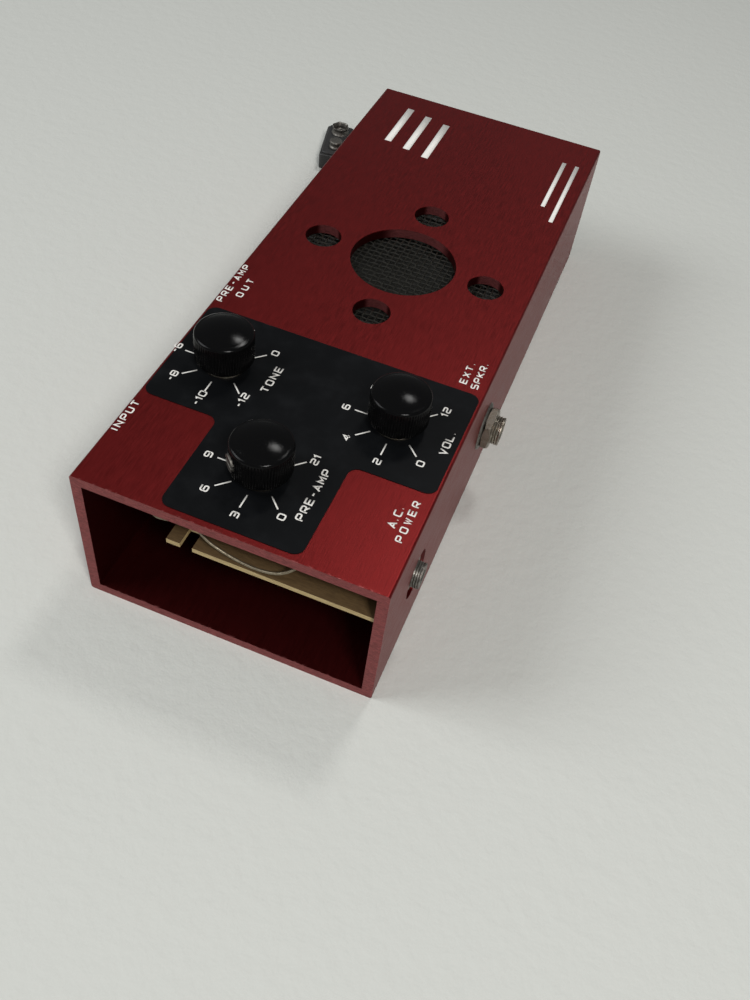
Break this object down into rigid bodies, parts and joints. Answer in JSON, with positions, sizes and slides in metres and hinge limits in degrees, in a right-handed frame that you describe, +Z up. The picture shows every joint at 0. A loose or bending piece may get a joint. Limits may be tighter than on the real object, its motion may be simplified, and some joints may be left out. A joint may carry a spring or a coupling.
{
  "type": "pocket instrument amplifier",
  "caption": "Pocket amplifier in an open-ended rectangular aluminium tube, with turning knobs, round speaker openings, side sockets and a pair of battery leads with their connector.",
  "frame": {"origin": "middle of the tube's underside", "axes": "+Z up through the top panel, Y along the tube with the dials towards -Y, +X towards the side with the loudspeaker and power sockets"},
  "size_m": [0.1314, 0.2645, 0.0642],
  "materials": {
    "anodised_red": "red anodised, brushed along the tube",
    "black_print": "satin black print",
    "black_knob": "moulded, domed gloss top, fine ribs",
    "nickel": "dull nickel plate",
    "plated_steel": "zinc plate",
    "phenolic": "paper laminate",
    "shaft_metal": "turned",
    "tinned_metal": "tinned",
    "black_plastic": "moulded",
    "black_mesh": "woven wire, black",
    "soft_black": "soft foam rubber",
    "cone_paper": "pressed grey paper",
    "copper": "enamelled winding",
    "ferrite": "sintered",
    "chip_black": "moulded",
    "capacitor_blue": "shrunk sleeve",
    "capacitor_amber": "dipped",
    "resistor_tan": "coated",
    "wire_white": "insulated",
    "wire_red": "insulated",
    "wire_black": "insulated"
  },
  "bodies": {
    "amplifier": {"amplifier_chip": "chip_black", "bare_wires": "tinned_metal", "battery_lead_black": "wire_black", "battery_lead_red": "wire_red", "circuit_board": "phenolic", "electrolytic_capacitors": "capacitor_blue", "film_capacitors": "capacitor_amber", "grille_mesh": "black_mesh", "housing": "anodised_red", "input_jack_body": "black_plastic", "input_jack_sleeve": "nickel", "jack_contacts": "tinned_metal", "jack_nuts": "nickel", "jack_washers": "nickel", "jack_wires": "wire_white", "legend_film": "black_print", "magnet_front_plate": "plated_steel", "magnet_yoke": "plated_steel", "output_jack_body": "black_plastic", "output_jack_sleeve": "nickel", "pot_lugs": "tinned_metal", "pot_nuts": "nickel", "pot_washers": "nickel", "power_jack_body": "black_plastic", "power_jack_plate": "phenolic", "power_jack_sleeve": "nickel", "preamp_chip": "chip_black", "preamp_pot_bushing": "nickel", "preamp_pot_case": "plated_steel", "preamp_pot_wafer": "phenolic", "resistors": "resistor_tan", "snap_contacts": "tinned_metal", "snap_shell": "black_plastic", "speaker_basket": "plated_steel", "speaker_gasket": "soft_black", "speaker_magnet": "ferrite", "speaker_out_jack_body": "black_plastic", "speaker_out_jack_sleeve": "nickel", "speaker_spider": "cone_paper", "speaker_surround": "soft_black", "speaker_terminals": "phenolic", "speaker_wires": "wire_white", "tone_pot_bushing": "nickel", "tone_pot_case": "plated_steel", "tone_pot_wafer": "phenolic", "volume_pot_bushing": "nickel", "volume_pot_case": "plated_steel", "volume_pot_wafer": "phenolic"},
    "preamp_dial": {"preamp_knob": "black_knob", "preamp_set_screw": "nickel", "preamp_pot_shaft": "shaft_metal"},
    "volume_dial": {"volume_knob": "black_knob", "volume_set_screw": "nickel", "volume_pot_shaft": "shaft_metal"},
    "tone_dial": {"tone_knob": "black_knob", "tone_set_screw": "nickel", "tone_pot_shaft": "shaft_metal"},
    "speaker_diaphragm": {"speaker_cone": "cone_paper", "speaker_dust_cap": "cone_paper", "voice_coil": "copper"}
  },
  "joints": [
    {"name": "preamp_turn", "type": "hinge", "parent": "amplifier", "child": "preamp_dial", "pos_m": [-0.0006, -0.0922, 0.052], "axis": [0, 0, -1], "range_deg": [-90, 180]},
    {"name": "volume_turn", "type": "hinge", "parent": "amplifier", "child": "volume_dial", "pos_m": [0.0253, -0.0591, 0.052], "axis": [0, 0, -1], "range_deg": [-180, 90]},
    {"name": "tone_turn", "type": "hinge", "parent": "amplifier", "child": "tone_dial", "pos_m": [-0.028, -0.0591, 0.052], "axis": [0, 0, -1], "range_deg": [-225, 45]},
    {"name": "cone_travel", "type": "slide", "parent": "amplifier", "child": "speaker_diaphragm", "axis": [0, 0, 1], "range_m": [-0.0008, 0.0008], "stiffness_N_per_m": 1500, "deforming": ["speaker_surround", "speaker_spider"]}
  ]
}
